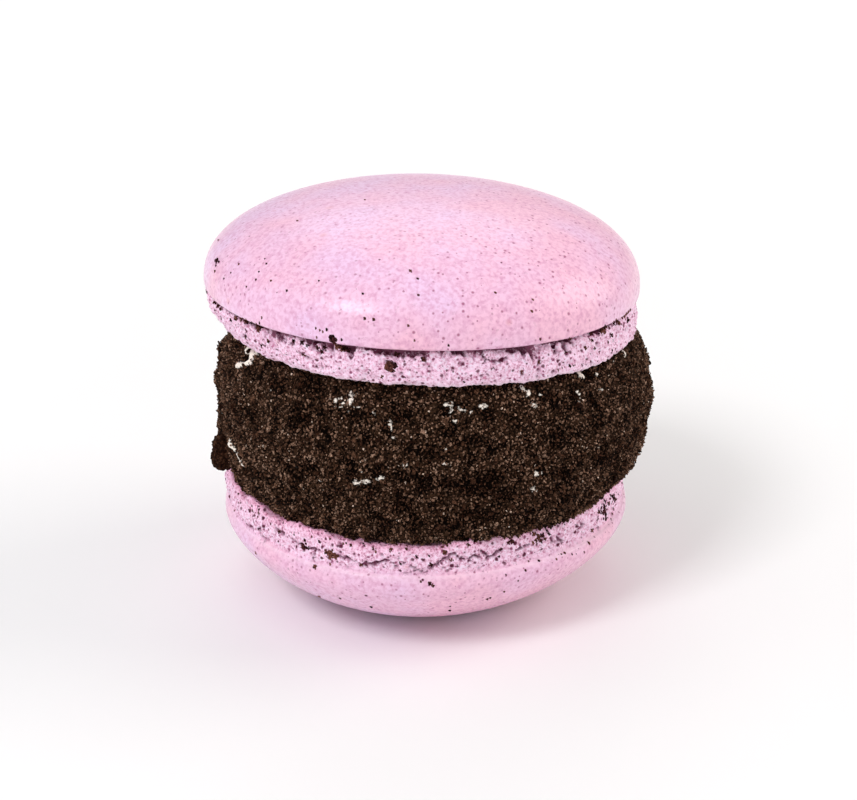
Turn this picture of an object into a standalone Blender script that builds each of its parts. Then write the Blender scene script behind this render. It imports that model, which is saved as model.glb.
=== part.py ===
# A tall filled macaron: two piped almond shells and a thick cream filling rolled in biscuit crumbs.
# Metres, +Z up. The origin is the centre of the small flat spot that the lower shell rests on.

import math
import random

import bmesh
import bpy
from mathutils import Matrix, Vector, noise

MM = 0.001

# Heights of the widest level of each shell, and of the faces that hold the filling.
LOWER_WIDEST_Z = 9.9 * MM
UPPER_WIDEST_Z = 37.85 * MM
FOOT_DEPTH = 4.76 * MM
GAP = 0.3 * MM

# The upper shell sits a little off centre and leans, its right side down.
UPPER_SHIFT_X = -0.19 * MM
UPPER_LEAN = 0.022

# dome: height of the full dome above the widest level, with the two powers of its curve.
# flat: where the dome is cut off by the flat spot it rests on, if it has one.
# edge: radius of the rounding below the widest level. crevice: how deep the foot steps back under it.
# foot_slide: how far the foot's lower rim is shifted along X, as the shells lift unevenly in the oven.
UPPER_SHELL = {
    "radius": 25.0 * MM,
    "dome": 10.06 * MM,
    "dome_powers": (2.15, 2.27),
    "flat": None,
    "edge": 1.0 * MM,
    "foot_shoulder": 24.25 * MM,
    "foot_rim": 23.75 * MM,
    "foot_slide": 1.24 * MM,
    "crevice": 1.5 * MM,
    "lumps": ((2, 0.16, 0.6), (3, 0.12, 2.1), (5, 0.07, 4.0)),
    "seed": 11,
}
LOWER_SHELL = {
    "radius": 24.35 * MM,
    "dome": 12.1 * MM,
    "dome_powers": (2.0, 1.43),
    "flat": LOWER_WIDEST_Z,
    "edge": 1.4 * MM,
    "foot_shoulder": 23.85 * MM,
    "foot_rim": 23.8 * MM,
    "foot_slide": 0.0,
    "crevice": 0.8 * MM,
    "lumps": ((2, 0.12, 1.9), (3, 0.14, 0.4), (4, 0.08, 5.1)),
    "seed": 29,
}
FLAT_BLEND = 1.2 * MM

# The filling is a barrel, wider than the shells at its middle.
FILLING_SHIFT_X = 1.03 * MM
FILLING_BOTTOM_RADIUS = 22.8 * MM
FILLING_MIDDLE_RADIUS = 25.45 * MM
FILLING_TOP_RADIUS = 23.3 * MM
FILLING_LOWER_POWER = 3.2
FILLING_UPPER_POWER = 2.6
FILLING_CORNER = 0.45 * MM
FILLING_LUMPS = ((2, 0.14, 0.3), (3, 0.16, 1.2), (5, 0.06, 2.6))

# Relief of the crumb coat: (height of the bumps, distance over which they change), broad ones first.
COAT_BUMPS = ((0.3 * MM, 4.2 * MM), (0.45 * MM, 1.9 * MM), (0.5 * MM, 1.05 * MM))

# Points round the rings, and rings in the foot and up the filling's side.
RING_POINTS = 120
DOME_STEPS = (0.14, 0.27, 0.4, 0.53, 0.65, 0.76, 0.86, 0.94, 0.985)
FILLING_POINTS = 144
FILLING_RINGS = 15

# Crumbs large enough to be shapes of their own, fused to what they lie on.
FOOT_CRUMBS = 12
SIDE_CRUMBS = 36
GOLDEN_TURN = math.pi * (3 - math.sqrt(5))
CHUNK = {"angle": 190, "height": 16.95 * MM, "half_size": (1.45 * MM, 1.5 * MM, 1.85 * MM)}


def clear_scene():
    for obj in list(bpy.data.objects):
        bpy.data.objects.remove(obj, do_unlink=True)


def material(name, colour, roughness):
    made = bpy.data.materials.new(name)
    made.use_nodes = True
    shader = made.node_tree.nodes["Principled BSDF"]
    shader.inputs["Base Color"].default_value = (*colour, 1)
    shader.inputs["Roughness"].default_value = roughness
    shader.inputs["Metallic"].default_value = 0
    return made


# Slow unevenness round a piped outline: a few waves of a named count, height in mm and phase.
def lump(angle, waves):
    return MM * sum(size * math.cos(count * angle + phase) for count, size, phase in waves)


# The smaller of two heights, with a rounded corner where they cross.
def soft_lower(a, b, blend):
    overlap = max(blend - abs(a - b), 0) / blend
    return min(a, b) - overlap * overlap * blend / 4


# Height of a shell's dome above its widest level, at a share of its radius.
def dome_height(share, shell):
    first, second = shell["dome_powers"]
    height = shell["dome"] * (1 - share**first) ** (1 / second)
    if shell["flat"] is None:
        return height
    return soft_lower(height, shell["flat"], FLAT_BLEND)


# Frilled relief of the foot, from coarse blobs and finer ones on them. point is in the shell's own frame.
def frill(point, seed):
    shifted = point / MM + Vector((seed, 0, 0))
    return MM * (0.5 * noise.noise(shifted / 2.6) + 0.28 * noise.noise(shifted / 1.3))


# How far the crevice under the cap's edge is open at this angle, from nearly shut to wide.
def crevice_share(angle, seed):
    around = Vector((math.cos(angle), math.sin(angle), 0)) * 5.5 + Vector((0, 0, seed))
    return min(1.5, max(0.15, 0.8 + 1.6 * noise.noise(around)))


# The rings of a shell below its widest level, from the cap's edge down the foot to its rim.
# Each is (radius, height, share of the frill that it carries).
def foot_section(angle, shell):
    edge, shoulder, rim = shell["edge"], shell["foot_shoulder"], shell["foot_rim"]
    open_share = crevice_share(angle, shell["seed"])
    crevice = shell["crevice"] * open_share
    lip = -0.97 * edge
    return (
        (shell["radius"] - 0.13 * edge, -0.5 * edge, 0),
        (shell["radius"] - 0.6 * edge, lip, 0),
        (shoulder - 0.3 * MM - crevice, lip - 0.15 * MM, 0.2),
        (shoulder - 0.2 * MM - 0.6 * crevice, lip - (0.3 + 0.4 * open_share) * MM, 0.5),
        (shoulder, lip - (0.75 + 0.45 * open_share) * MM, 1),
        (0.65 * shoulder + 0.35 * rim + 0.15 * MM, -0.62 * FOOT_DEPTH, 1),
        (0.2 * shoulder + 0.8 * rim + 0.1 * MM, -0.87 * FOOT_DEPTH, 0.8),
        (rim - 0.35 * MM, -FOOT_DEPTH, 0.2),
    )


# Faces between two closed rings of points. The second ring may have half as many points as the first.
def stitch(mesh, wide, narrow):
    count = len(narrow)
    for i in range(count):
        here, after = narrow[i], narrow[(i + 1) % count]
        if len(wide) == count:
            mesh.faces.new((wide[i], wide[(i + 1) % count], after, here))
        else:
            start, middle, end = wide[2 * i], wide[2 * i + 1], wide[(2 * i + 2) % len(wide)]
            mesh.faces.new((start, middle, here))
            mesh.faces.new((middle, end, after))
            mesh.faces.new((middle, after, here))


# Stitches rings from first to last, and closes both ends with one flat face each. Quads are split along
# their shorter diagonal, so that bumps look the same from both sides.
def close_rings(mesh, rings):
    for ring, following in zip(rings, rings[1:]):
        if len(ring) >= len(following):
            stitch(mesh, ring, following)
        else:
            stitch(mesh, following, ring)
    mesh.faces.new(rings[0])
    mesh.faces.new(rings[-1])
    quads = [face for face in mesh.faces if len(face.verts) == 4]
    bmesh.ops.triangulate(mesh, faces=quads, quad_method="SHORT_EDGE")
    bmesh.ops.recalc_face_normals(mesh, faces=mesh.faces)


def object_from(mesh, name):
    data = bpy.data.meshes.new(name)
    mesh.to_mesh(data)
    mesh.free()
    obj = bpy.data.objects.new(name, data)
    bpy.context.scene.collection.objects.link(obj)
    return obj


# Evenly spaced angles round a ring, turned by a share of one step.
def angles(count, turned=0):
    return [2 * math.pi * (i + turned) / count for i in range(count)]


def on_circle(angle, radius, height):
    return Vector((radius * math.cos(angle), radius * math.sin(angle), height))


# One point of a shell below its widest level, with its frill and the sideways slide of the foot.
def foot_point(angle, ring, shell):
    radius, height, frilled = foot_section(angle, shell)[ring]
    radius += lump(angle, shell["lumps"])
    radius += frilled * frill(on_circle(angle, radius, height), shell["seed"])
    slide = shell["foot_slide"] * (-height / FOOT_DEPTH) ** 1.5
    return on_circle(angle, radius, height) + Vector((slide, 0, 0))


# A shell in its own frame: dome up, widest level at height 0, foot below.
def shell_mesh(shell):
    mesh = bmesh.new()
    rings = []
    for share in (*DOME_STEPS, 1):
        points = RING_POINTS // 4 if share < 0.3 else RING_POINTS // 2 if share < 0.95 else RING_POINTS
        height = dome_height(share, shell)
        flat = shell["flat"] is not None and height >= shell["flat"]
        ring = []
        for angle in angles(points):
            uneven = 0 if flat else lump(angle, shell["lumps"]) * share**2
            ring.append(mesh.verts.new(on_circle(angle, share * shell["radius"] + uneven, height)))
        rings.append(ring)
    for ring in range(len(foot_section(0, shell))):
        rings.append([mesh.verts.new(foot_point(angle, ring, shell)) for angle in angles(RING_POINTS)])
    close_rings(mesh, rings)
    return mesh


# An angular crumb: a rough ball of 20 faces, uneven in size along its own axes, turned at random.
def crumb(place, half_size, draw):
    mesh = bmesh.new()
    bmesh.ops.create_icosphere(mesh, subdivisions=1, radius=1)
    for vert in mesh.verts:
        vert.co *= draw.uniform(0.78, 1.12)
    turn = Matrix.Rotation(draw.uniform(0, math.tau), 4, "Z") @ Matrix.Rotation(draw.uniform(-0.6, 0.6), 4, "X")
    mesh.transform(Matrix.Translation(place) @ turn @ Matrix.Diagonal((*half_size, 1)))
    return object_from(mesh, "crumb")


# Joins crumbs to what they lie on by one Boolean union, applied, and removes them.
def fuse(body, crumbs):
    group = bpy.data.collections.new("crumbs")
    bpy.context.scene.collection.children.link(group)
    for piece in crumbs:
        bpy.context.scene.collection.objects.unlink(piece)
        group.objects.link(piece)
    union = body.modifiers.new("crumbs", "BOOLEAN")
    union.operation = "UNION"
    union.operand_type = "COLLECTION"
    union.collection = group
    bpy.context.view_layer.update()
    evaluated = body.evaluated_get(bpy.context.evaluated_depsgraph_get())
    joined = bpy.data.meshes.new_from_object(evaluated)
    body.modifiers.clear()
    body.data = joined
    for piece in crumbs:
        bpy.data.objects.remove(piece, do_unlink=True)
    bpy.data.collections.remove(group)


# Crumbs stuck on a foot, spread by the golden turn, in the shell's own frame.
def foot_crumbs(shell):
    draw = random.Random(shell["seed"])
    made = []
    for i in range(FOOT_CRUMBS):
        angle = i * GOLDEN_TURN + draw.uniform(-0.25, 0.25)
        size = draw.uniform(0.4, 0.72) * MM
        place = foot_point(angle, 4, shell).lerp(foot_point(angle, 6, shell), draw.uniform(0.2, 0.8))
        made.append(crumb(place, (size, size * draw.uniform(0.7, 1), size * draw.uniform(0.6, 0.9)), draw))
    return made


def make_shell(name, shell, look, place):
    obj = object_from(shell_mesh(shell), name)
    fuse(obj, foot_crumbs(shell))
    obj.data.materials.clear()
    obj.data.materials.append(look)
    obj.matrix_world = place
    obj.data.shade_smooth()
    obj.data.set_sharp_from_angle(angle=math.radians(50))
    return obj


def upper_place():
    lean = Matrix.Rotation(UPPER_LEAN, 4, "Y")
    return Matrix.Translation((UPPER_SHIFT_X, 0, UPPER_WIDEST_Z)) @ lean


def lower_place():
    return Matrix.Translation((0, 0, LOWER_WIDEST_Z)) @ Matrix.Rotation(math.pi, 4, "X")


# Height of the filling's bottom, which is level, and of its top, which leans with the upper shell.
def filling_bottom():
    return LOWER_WIDEST_Z + FOOT_DEPTH + GAP


def filling_top(x):
    axis_z = UPPER_WIDEST_Z - FOOT_DEPTH * math.cos(UPPER_LEAN) - GAP
    return axis_z - (x - UPPER_SHIFT_X) * math.tan(UPPER_LEAN)


# Radius of the filling's barrel at a share of its height, before crumbs.
def barrel_radius(share, angle):
    away = abs(2 * share - 1)
    if share < 0.5:
        end, power = FILLING_BOTTOM_RADIUS, FILLING_LOWER_POWER
    else:
        end, power = FILLING_TOP_RADIUS, FILLING_UPPER_POWER
    bulge = (FILLING_MIDDLE_RADIUS - end) * (1 - away**power)
    return end + bulge + lump(angle, FILLING_LUMPS)


# One point of the filling's side. The bumps fade out at both ends, where it meets the shells.
def filling_point(angle, share, inset):
    radius = barrel_radius(share, angle) - inset
    x = FILLING_SHIFT_X + radius * math.cos(angle)
    low, high = filling_bottom(), filling_top(x)
    place = Vector((x, radius * math.sin(angle), low + share * (high - low)))
    bumped = sum(size * noise.noise(place / pitch) for size, pitch in COAT_BUMPS)
    fade = min(1, 8 * min(share, 1 - share))
    outward = Vector((math.cos(angle), math.sin(angle), 0))
    return place + outward * bumped * fade


# Every second ring is turned by half a step, so that the points stand in triangles.
def filling_mesh():
    mesh = bmesh.new()
    corner = 0.025
    shares = [corner + (1 - 2 * corner) * i / (FILLING_RINGS - 1) for i in range(FILLING_RINGS)]
    sections = [(0, FILLING_CORNER), *((share, 0) for share in shares), (1, FILLING_CORNER)]
    rings = []
    for i, (share, inset) in enumerate(sections):
        around = angles(FILLING_POINTS, 0.5 * (i % 2))
        rings.append([mesh.verts.new(filling_point(angle, share, inset)) for angle in around])
    close_rings(mesh, rings)
    return mesh


# The larger crumbs in the coat, spread up and round the side by the golden turn, and one chunk at the left.
def side_crumbs():
    draw = random.Random(5)
    made = []
    for i in range(SIDE_CRUMBS):
        share = 0.13 + 0.74 * (i + 0.5) / SIDE_CRUMBS
        angle = i * GOLDEN_TURN + draw.uniform(-0.15, 0.15)
        size = draw.uniform(0.6, 1.1) * MM
        place = filling_point(angle, share, 0.1 * MM)
        half_size = (size, size * draw.uniform(0.7, 1), size * draw.uniform(0.6, 0.95))
        made.append(crumb(place, half_size, draw))
    angle = math.radians(CHUNK["angle"])
    radius = FILLING_MIDDLE_RADIUS - 0.45 * MM
    place = on_circle(angle, radius, CHUNK["height"]) + Vector((FILLING_SHIFT_X, 0, 0))
    made.append(crumb(place, CHUNK["half_size"], draw))
    return made


def make_filling(look):
    obj = object_from(filling_mesh(), "filling")
    fuse(obj, side_crumbs())
    obj.data.materials.clear()
    obj.data.materials.append(look)
    obj.data.shade_smooth()
    obj.data.set_sharp_from_angle(angle=math.radians(35))
    return obj


def main():
    clear_scene()
    pink = material("almond_shell", (0.93, 0.6, 0.77), 0.62)
    brown = material("biscuit_crumb", (0.035, 0.018, 0.012), 0.85)
    make_shell("shell_bottom", LOWER_SHELL, pink, lower_place())
    make_filling(brown)
    make_shell("shell_top", UPPER_SHELL, pink, upper_place())


main()
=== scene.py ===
import math
import random
from functools import partial

import bmesh
import bpy
from mathutils import Matrix, Vector, noise
from mathutils.bvhtree import BVHTree


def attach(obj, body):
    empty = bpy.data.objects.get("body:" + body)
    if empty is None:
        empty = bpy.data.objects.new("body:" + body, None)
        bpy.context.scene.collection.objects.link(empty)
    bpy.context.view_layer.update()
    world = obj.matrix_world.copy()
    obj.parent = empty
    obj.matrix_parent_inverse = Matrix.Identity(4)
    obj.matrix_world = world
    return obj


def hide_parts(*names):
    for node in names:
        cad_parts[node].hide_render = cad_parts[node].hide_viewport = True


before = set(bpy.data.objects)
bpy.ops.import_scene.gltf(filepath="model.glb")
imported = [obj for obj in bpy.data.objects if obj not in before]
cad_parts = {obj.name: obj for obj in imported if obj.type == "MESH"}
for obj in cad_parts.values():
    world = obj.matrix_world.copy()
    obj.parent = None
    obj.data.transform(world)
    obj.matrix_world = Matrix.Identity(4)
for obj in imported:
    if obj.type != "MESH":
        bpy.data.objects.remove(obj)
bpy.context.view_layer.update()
mm = 0.001


# helpers

def linear(hexColour):
    channels = [int(hexColour[i:i + 2], 16) / 255 for i in (1, 3, 5)]
    return (*[c / 12.92 if c <= 0.04045 else ((c + 0.055) / 1.055) ** 2.4 for c in channels], 1)


# sets inputs of a node, by name or in order: plain values, hex colours, and sockets or nodes to link from
def feed(node, inputs):
    for name, value in inputs.items() if isinstance(inputs, dict) else enumerate(inputs):
        if isinstance(value, bpy.types.Node):
            value = value.outputs[0]
        if isinstance(value, bpy.types.NodeSocket):
            node.id_data.links.new(value, node.inputs[name])
        else:
            isHex = isinstance(value, str) and value.startswith("#")
            node.inputs[name].default_value = linear(value) if isHex else value


# adds a node with its settings and inputs: a bare kind is a ShaderNode, stops fill a ramp with hex colours or greys
def addNode(tree, kind, inputs=(), stops=(), **settings):
    node = tree.nodes.new(kind if "Node" in kind else "ShaderNode" + kind)
    for name, value in settings.items():
        setattr(node, name, value)
    feed(node, inputs)
    for i, (place, colour) in enumerate(stops):
        stop = node.color_ramp.elements[i] if i < 2 else node.color_ramp.elements.new(place)
        stop.position = place
        stop.color = linear(colour) if isinstance(colour, str) else (colour, colour, colour, 1)
    return node


# empties the node tree of a material or world; returns what adds nodes to it
def emptied(owner):
    owner.use_nodes = True
    owner.node_tree.nodes.clear()
    return partial(addNode, owner.node_tree)


def newMaterial(name):
    material = bpy.data.materials.new(name)
    add = emptied(material)
    shader = add("BsdfPrincipled")
    add("OutputMaterial", [shader])
    return material, add, shader


# a geometry tree whose inputs are numbers, others by kind and a material; returns what adds nodes, its input sockets
# by name and its output node
def newTree(name, numbers, **others):
    tree = bpy.data.node_groups.new(name, "GeometryNodeTree")
    tree.interface.new_socket("Geometry", in_out="OUTPUT", socket_type="NodeSocketGeometry")
    kinds = {"Geometry": "Geometry", **dict.fromkeys(numbers, "Float"), **others, "Material": "Material"}
    for label, kind in kinds.items():
        tree.interface.new_socket(label, in_out="INPUT", socket_type="NodeSocket" + kind)
    add = partial(addNode, tree)
    return add, {socket.name: socket for socket in add("NodeGroupInput").outputs}, add("NodeGroupOutput")


# ends a tree: everything is made real and painted
def closeTree(add, given, result, geometry):
    real = add("GeometryNodeRealizeInstances", [geometry])
    feed(result, [add("GeometryNodeSetMaterial", {"Geometry": real, "Material": given["Material"]})])
    return result.id_data


# moves a surface out by a rise in mm and smooths it
def raised(add, geometry, rise):
    rise = add("Math", (rise, mm), operation="MULTIPLY")
    offset = add("VectorMath", {0: add("GeometryNodeInputNormal"), "Scale": rise}, operation="SCALE")
    return add("GeometryNodeSetShadeSmooth", [add("GeometryNodeSetPosition", {"Geometry": geometry, "Offset": offset})])


# distance from an object's lines, and the width of the nearest one
def fromLines(add, lines):
    there = add("GeometryNodeObjectInfo", [lines]).outputs["Geometry"]
    near = add("GeometryNodeProximity", {"Geometry": there}, target_element="EDGES")
    widths = add("GeometryNodeInputNamedAttribute", ["width"])
    nearest = add("GeometryNodeSampleNearest", {"Geometry": there})
    width = add("GeometryNodeSampleIndex", {"Geometry": there, "Value": widths, "Index": nearest})
    return near.outputs["Distance"], width


# runs a tree on a piece and keeps the result as its plain mesh
def runTree(piece, tree, values):
    modifier = piece.modifiers.new(tree.name, "NODES")
    modifier.node_group = tree
    for item in tree.interface.items_tree:
        if item.in_out == "INPUT" and item.name in values:
            modifier[item.identifier] = values[item.name]
    bpy.context.view_layer.update()
    evaluated = piece.evaluated_get(bpy.context.evaluated_depsgraph_get())
    mesh = bpy.data.meshes.new_from_object(evaluated)
    piece.modifiers.clear()
    piece.data = mesh
    mesh.name = piece.name
    print(piece.name, len(mesh.polygons), "faces")


def keepValues(piece, label, values):
    piece.data.attributes.new(label, "FLOAT", "POINT").data.foreach_set("value", values)


def newObject(name, data):
    made = bpy.data.objects.new(name, data)
    bpy.context.scene.collection.objects.link(made)
    return made


def newPiece(name, points, faces, attributes=(), edges=()):
    mesh = bpy.data.meshes.new(name)
    mesh.from_pydata(points, edges, faces)
    piece = newObject(name, mesh)
    for label, values in dict(attributes).items():
        keepValues(piece, label, values)
    return piece


# evenly spaced angles round a ring
def angles(count):
    return [2 * math.pi * j / count for j in range(count)]


def smooth(low, high, value):
    t = min(1, max(0, (value - low) / (high - low)))
    return t * t * (3 - 2 * t)


def lump(angle, waves):
    return sum(size * math.cos(count * angle + phase) for count, size, phase in waves)


# camera: fitted to the outline of the photograph, 857 x 800

photoView = {
    "target": Vector((0.48, 0, 22.17)) * mm,
    "distance": 180 * mm,
    "elevation": math.radians(21.97),
    "lens": 62.9,
    "sensor": 36,
    "pixels": (857, 800),
    "pixelsPerMm": 8.6,
}
sine, cosine = math.sin(photoView["elevation"]), math.cos(photoView["elevation"])
focal = photoView["lens"] / photoView["sensor"] * photoView["pixels"][0]
eye = photoView["target"] + Vector((0, -cosine, sine)) * photoView["distance"]


def placeCamera(view):
    data = bpy.data.cameras.new("camera")
    data.lens = view["lens"]
    data.sensor_width = view["sensor"]
    data.clip_start = 5 * mm
    camera = newObject("camera", data)
    camera.location = eye
    camera.rotation_euler = (math.pi / 2 - view["elevation"], 0, 0)
    bpy.context.scene.camera = camera


# direction from the camera through a pixel of the photograph, and the pixel that shows a point
def pixelRay(x, y):
    wide, high = photoView["pixels"]
    across, drop = (x - wide / 2) / focal, (y - high / 2) / focal
    return Vector((across, cosine - drop * sine, -sine - drop * cosine)).normalized()


def pixelOf(point):
    wide, high = photoView["pixels"]
    away = point - eye
    depth = away.y * cosine - away.z * sine
    return wide / 2 + focal * away.x / depth, high / 2 - focal * (away.y * sine + away.z * cosine) / depth


placeCamera(photoView)
print("camera placed")


# meshes of rings: a ring may have half or twice the points of the one before, or be a single point

def ringFaces(rings):
    faces = []
    starts = [0]
    for ring in rings:
        starts.append(starts[-1] + len(ring))
    for i in range(len(rings) - 1):
        a, b = starts[i], starts[i + 1]
        countA, countB = len(rings[i]), len(rings[i + 1])
        if countB == 1:
            faces += [(a + j, a + (j + 1) % countA, b) for j in range(countA)]
        elif countA == 1:
            faces += [(b + (j + 1) % countB, b + j, a) for j in range(countB)]
        elif countA == countB:
            faces += [(a + j, a + (j + 1) % countA, b + (j + 1) % countA, b + j) for j in range(countA)]
        elif countA == 2 * countB:
            for j in range(countB):
                after, middle, end = (j + 1) % countB, a + 2 * j + 1, a + (2 * j + 2) % countA
                faces += [(a + 2 * j, middle, b + j), (middle, end, b + after), (middle, b + after, b + j)]
        else:
            for j in range(countA):
                after, middle, end = (j + 1) % countA, b + 2 * j + 1, b + (2 * j + 2) % countB
                faces += [(middle, b + 2 * j, a + j), (end, middle, a + after), (a + after, middle, a + j)]
    return faces


def outward(piece):
    mesh = bmesh.new()
    mesh.from_mesh(piece.data)
    bmesh.ops.recalc_face_normals(mesh, faces=mesh.faces)
    mesh.to_mesh(piece.data)
    mesh.free()


def surfaceOf(piece):
    points = [vertex.co.copy() for vertex in piece.data.vertices]
    return BVHTree.FromPolygons(points, [face.vertices[:] for face in piece.data.polygons])


# where the ray through a pixel of the photograph meets a surface
def photoSpot(surface, x, y):
    place, normal, _, _ = surface.ray_cast(eye, pixelRay(x, y))
    return place, normal


# lines drawn in pixels of the photograph, laid on a surface; each starts with its width in pixels
def photoLines(surface, drawn):
    lines = []
    for width, *pixels in drawn:
        lines.append([])
        for x, y in pixels:
            place, _ = photoSpot(surface, x, y)
            if place is None:
                lines.append([])
            else:
                lines[-1].append((place, width / photoView["pixelsPerMm"]))
    return lines


# a helper object for a tree to measure from: lines of points with their widths; a lone point gets a very short line
def lineObject(name, lines):
    points, widths, edges = [], [], []
    for line in lines:
        if len(line) == 1:
            place, width = line[0]
            line = [(place, width), (place + Vector((0.05, 0, 0.05)) * mm, width)]
        edges += [(len(points) + k, len(points) + k + 1) for k in range(len(line) - 1)]
        points += [place for place, width in line]
        widths += [width for place, width in line]
    return newPiece(name, points, [], {"width": widths}, edges)


# Where the filling's lower edge lies on the lower foot, as seen from the photograph's side: degrees round from the
# middle, and radius in mm if the foot were level there. The foot's rim rises where the edge lies further in.

lowerEdge = {
    "seen": (
        (-80, 22.5), (-73, 22.26), (-66, 23.2), (-62, 23.3), (-57, 21.9), (-51, 21.7), (-48, 23), (-44, 22.8),
        (-41, 22.4), (-35, 21.7), (-27, 22.0), (-22, 22.3), (-17, 23.0), (-9, 22.8), (-3, 23.1), (4, 23.1), (8, 21.8),
        (11, 21.6), (20, 21.9), (29, 22), (39, 22), (50, 21.8), (58, 21.3), (64, 21.5), (72, 22.6), (80, 22.0),
    ),
    "plain": 22.75,
    "full": 22.9,
    "highest": 0.75,
    "crumbs": 0.2,  # how far they stand out past the bed that carries them
}


def edgeRadius(angle):
    turn = (math.degrees(angle) + 90 + 180) % 360 - 180
    seen = lowerEdge["seen"]
    for (a0, r0), (a1, r1) in zip(seen, seen[1:]):
        if a0 <= turn <= a1:
            return r0 + (r1 - r0) * smooth(a0, a1, turn) - lowerEdge["crumbs"]
    around = Vector((math.cos(angle), math.sin(angle), 3))
    return lowerEdge["plain"] + 0.9 * noise.noise(around * 5) + 0.5 * noise.noise(around * 11)


# how far the rim rises at an angle, and how far out the filling's edge then lies
def rimRise(angle):
    radius = edgeRadius(angle)
    slope = math.tan(photoView["elevation"]) / max(0.45, abs(math.sin(angle)))
    rise = min(lowerEdge["highest"], slope * max(0, lowerEdge["full"] - radius))
    return rise, radius + rise / slope


# Macaron shells. Lengths in mm in the shell's own frame, dome up, widest level at height 0. The openings of the
# crevice between cap and foot are pixels: across the photograph, and how far it gapes there.

upperSeat = {"x": -0.19, "z": 37.85, "tilt": 0.022}
shellMesh = {
    "footDepth": 4.76, "flatBlend": 1.2, "pitch": 0.33, "leastPitch": 0.17,
    "points": 480, "leastPoints": 30, "footPoints": 960, "footFrom": 0.998,
    "footSteps": (3, 2, 2, 5, 3, 4, 3, 13, 7, 4, 4),
    "shrink": 0.62,  # each ring underneath against the one before
}
upperForm = {
    "radius": 25.0,
    "dome": 10.06,
    "powers": (2.15, 2.27),  # of the dome's curve, across and up
    "flat": None,
    "edge": 0.52,  # height of the cap's rounded edge
    "edgeRise": 0,
    "lipIn": 1.0,
    "shoulder": 24.25,
    "rim": 23.75,
    "slide": 1.05,
    "flare": (0.65, 0.45, 1.1, 2.6, 4.7),  # how far, and the depths where it starts, is full, fades and is gone
    "lumps": ((2, 0.16, 0.6), (3, 0.12, 2.1), (5, 0.07, 4.0)),  # waves round it: how many, height, start
    "seed": 11,
    "moreCreases": (16, -1.6, -2.6),  # behind, and between which heights
    "gape": 3.2,
    "gapePixelsPerMm": 8,
    "tear": ((4, 0), (13, 5), (31, 9)),  # broad, torn and fine noise: how fine, and what is added to the seed
    "openings": (
        (206, 2), (213, 5), (223, 5), (226, 1), (231, 1), (234, 5), (255, 5), (258, 8), (264, 8), (267, 6), (272, 7),
        (279, 8), (284, 2), (291, 2), (293, 5), (297, 2), (302, 5), (307, 3), (313, 4), (318, 8), (327, 9), (330, 1.5),
        (334, 3), (338, 8), (350, 8), (353, 2), (359, 1.5), (366, 3), (372, 5), (388, 5), (391, 9), (400, 8), (403, 5),
        (414, 5), (420, 10), (428, 9), (431, 1.5), (439, 2), (443, 4), (466, 4), (474, 5), (480, 4), (486, 2),
        (500, 2), (509, 3), (519, 5), (526, 10), (537, 11), (540, 3), (546, 3), (552, 5), (557, 7), (561, 3), (567, 7),
        (574, 7), (577, 1.5), (588, 1.5), (591, 5), (596, 2), (601, 6), (606, 5), (610, 1), (616, 3), (622, 3),
        (631, 2), (638, 3),
    ),
    "place": Matrix.Translation((upperSeat["x"], 0, upperSeat["z"])) @ Matrix.Rotation(upperSeat["tilt"], 4, "Y"),
}
lowerForm = {
    "radius": 24.5,
    "dome": 12.1,
    "powers": (2.0, 1.43),
    "flat": 9.9,
    "edge": 1.08,
    "edgeRise": 0.35,
    "shoulder": 23.85,
    "rim": 23.8,
    "slide": 0,
    "flare": (0.35, 1.8, 2.9, 3.2, 4.4),
    "lumps": ((2, 0.12, 1.9), (3, 0.14, 0.4), (4, 0.08, 5.1)),
    "seed": 29,
    "moreCreases": (26, -1.9, -3.6),
    "place": Matrix.Translation((0, 0, 9.9)) @ Matrix.Rotation(math.pi, 4, "X"),
}


def domeHeight(share, form):
    first, second = form["powers"]
    height = form["dome"] * (1 - share**first) ** (1 / second)
    if form["flat"] is None:
        return height
    overlap = max(shellMesh["flatBlend"] - abs(height - form["flat"]), 0) / shellMesh["flatBlend"]
    return min(height, form["flat"]) - overlap * overlap * shellMesh["flatBlend"] / 4


# the dome's curve from the apex to the widest level, at even steps along it
def domeCurve(form):
    fine = [math.sin(math.pi / 2 * i / 3000) for i in range(3001)]
    fine = [(form["radius"] * share, domeHeight(share, form)) for share in fine]
    curve, walked = [fine[0]], 0
    for before, here in zip(fine, fine[1:]):
        walked += math.dist(before, here)
        if walked >= shellMesh["pitch"]:
            curve.append(here)
            walked = 0
    curve[-1] = fine[-1]
    return curve


# points round a dome ring, halved towards the apex
def ringCount(radius):
    count = shellMesh["points"]
    while count > shellMesh["leastPoints"] and 2 * math.pi * radius / count < shellMesh["leastPitch"]:
        count //= 2
    return count


# how far the upper shell's crevice gapes at an angle, in mm: as photographed in front, the same kind elsewhere
def opening(angle, form):
    around = Vector((math.cos(angle), math.sin(angle), 0))
    broad, torn, fine = (noise.noise(around * k + Vector((0, 0, form["seed"] + more))) for k, more in form["tear"])
    fine += noise.noise(around * 67)
    gape = form["gape"] * max(0.12, 1 + 1.6 * broad + 2.2 * torn)
    seen = form["openings"]
    x, _ = pixelOf(form["place"] @ (around * form["radius"]) * mm)
    place = form["place"] @ around
    if place.y < -0.2 and seen[0][0] < x < seen[-1][0]:
        for (x0, y0), (x1, y1) in zip(seen, seen[1:]):
            if x0 <= x <= x1:
                gape = y0 + (y1 - y0) * smooth(x0, x1, x)
    return max(0.5, gape * (1 + 0.5 * torn + 0.7 * fine)) / form["gapePixelsPerMm"]


# how far the foot stands out at the left, between two heights where it fades
def flare(angle, height, form):
    size, start, full, fading, gone = form["flare"]
    return size * max(0, -math.cos(angle)) ** 6 * smooth(start, full, -height) * (1 - smooth(fading, gone, -height))


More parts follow.
